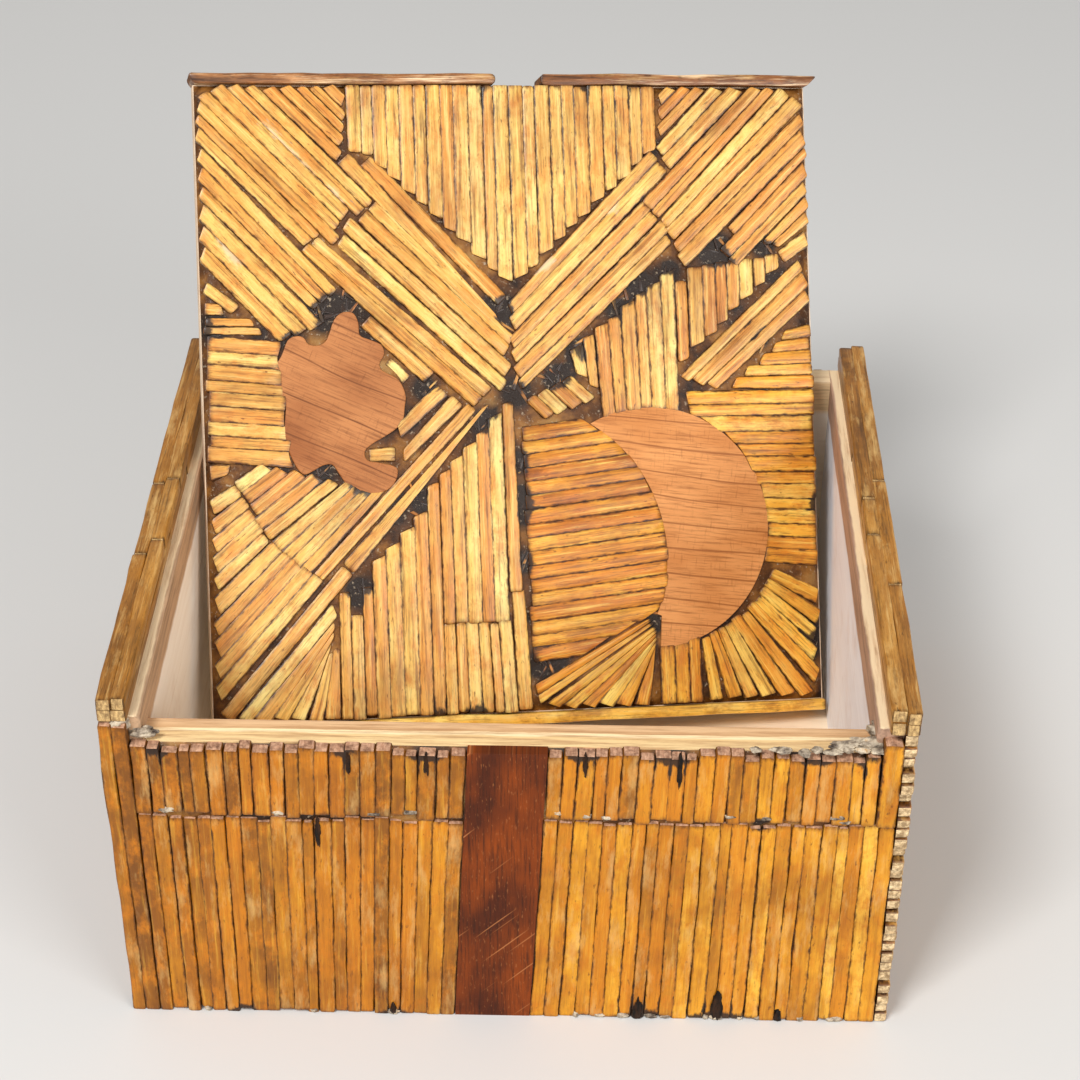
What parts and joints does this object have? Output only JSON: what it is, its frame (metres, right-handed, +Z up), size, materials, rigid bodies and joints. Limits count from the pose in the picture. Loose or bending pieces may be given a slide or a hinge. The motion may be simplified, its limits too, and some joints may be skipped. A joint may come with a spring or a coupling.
{
  "type": "ditty box",
  "caption": "Open wooden box covered with split matchsticks, with a loose matchstick mosaic lid that stands in it and leans on the back wall.",
  "frame": {"origin": "middle of the foot of the front board, on the surface that the box stands on", "axes": "+Z up, +X to the viewer's right, -Y towards the lower front wall"},
  "size_m": [0.13, 0.1388, 0.1248],
  "materials": {
    "washed_board": "pale wash on bare wood, matt",
    "plywood": "raw plywood edge, matt",
    "dark_veneer": "dark red-brown veneer, satin varnish",
    "light_veneer": "light red-brown veneer, satin varnish",
    "front_sticks": "golden brown varnish, satin",
    "side_sticks": "darkened golden varnish, satin",
    "rim_sticks": "dark olive-gold varnish, satin",
    "lid_sticks": "bright golden varnish, satin",
    "lid_board": "bare pinkish wood with glue marks, matt",
    "brown_strip": "brown varnish, satin",
    "gold_strip": "golden varnish, satin"
  },
  "bodies": {
    "box": {"bottom_board": "washed_board", "front_board": "plywood", "back_board": "washed_board", "left_board": "washed_board", "right_board": "washed_board", "front_panel": "dark_veneer", "front_short_sticks": "front_sticks", "front_long_sticks": "front_sticks", "front_end_piece": "front_sticks", "front_corner_sticks": "side_sticks", "left_sticks": "side_sticks", "right_sticks": "side_sticks", "back_sticks": "side_sticks", "left_rim": "rim_sticks", "right_rim": "rim_sticks"},
    "lid": {"lid_board": "lid_board", "lid_top_strip_left": "brown_strip", "lid_top_strip_right": "brown_strip", "lid_bottom_strip": "gold_strip", "lid_crescent": "light_veneer", "lid_leaf": "light_veneer", "lid_top_sticks": "lid_sticks", "lid_upper_left_band": "lid_sticks", "lid_upper_left_corner": "lid_sticks", "lid_upper_right_band": "lid_sticks", "lid_upper_right_corner": "lid_sticks", "lid_right_uprights": "lid_sticks", "lid_right_diagonals": "lid_sticks", "lid_right_sticks": "lid_sticks", "lid_right_fan": "lid_sticks", "lid_crescent_sticks": "lid_sticks", "lid_small_fan": "lid_sticks", "lid_short_uprights": "lid_sticks", "lid_centre_sticks": "lid_sticks", "lid_bottom_uprights": "lid_sticks", "lid_lower_left_band": "lid_sticks", "lid_lower_left_inner": "lid_sticks", "lid_lower_left_outer": "lid_sticks", "lid_left_sticks": "lid_sticks", "lid_leaf_sticks": "lid_sticks"}
  },
  "joints": [
    {"name": "lid_lift", "type": "slide", "parent": "box", "child": "lid", "axis": [0, 0, 1], "range_m": [0, 0.09]}
  ]
}
